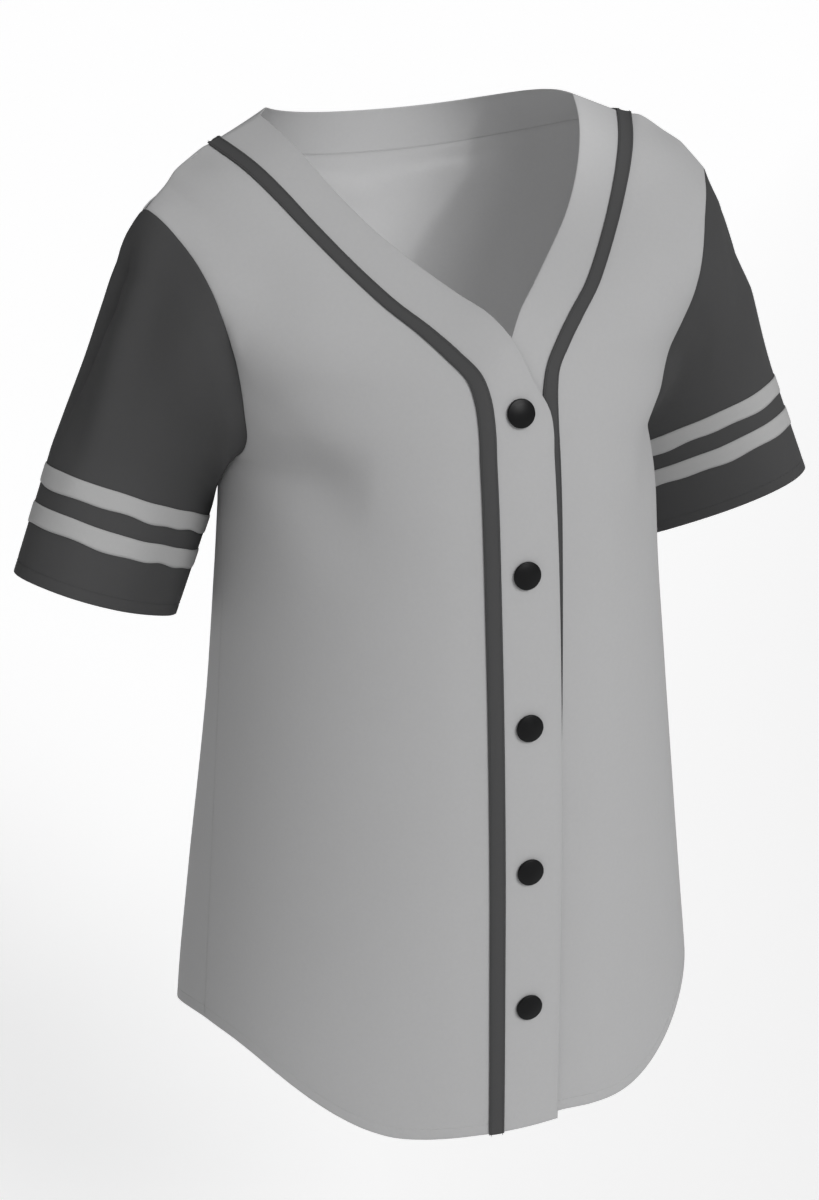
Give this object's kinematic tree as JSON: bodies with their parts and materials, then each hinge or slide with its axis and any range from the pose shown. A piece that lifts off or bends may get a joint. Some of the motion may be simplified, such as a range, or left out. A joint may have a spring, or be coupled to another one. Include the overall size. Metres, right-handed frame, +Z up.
{
  "type": "baseball jersey",
  "caption": "Short-sleeved buttoned baseball jersey with V neck, dark set-in sleeves with light stripes, dark braid round the neckline and front, and a shirt-tail hem.",
  "frame": {"origin": "midway between the two shoulder points of the neckline, where the wearer's shoulders carry the jersey", "axes": "+X to the wearer's left, +Y to the back, +Z up"},
  "size_m": [0.5691, 0.3513, 0.6632],
  "materials": {
    "body_cloth": "matte",
    "sleeve_cloth": "matte",
    "braid": "matte",
    "stripe": "matte",
    "button": "gloss"
  },
  "bodies": {
    "root": {"front_left": "body_cloth", "band_left": "body_cloth", "braid_left": "braid", "front_right": "body_cloth", "band_right": "body_cloth", "braid_right": "braid", "back": "body_cloth", "neck_band_back": "body_cloth", "braid_back": "braid", "sleeve_left": "sleeve_cloth", "stripe_upper_left": "stripe", "stripe_lower_left": "stripe", "sleeve_right": "sleeve_cloth", "stripe_upper_right": "stripe", "stripe_lower_right": "stripe", "button_1": "button", "button_2": "button", "button_3": "button", "button_4": "button", "button_5": "button"}
  },
  "joints": []
}
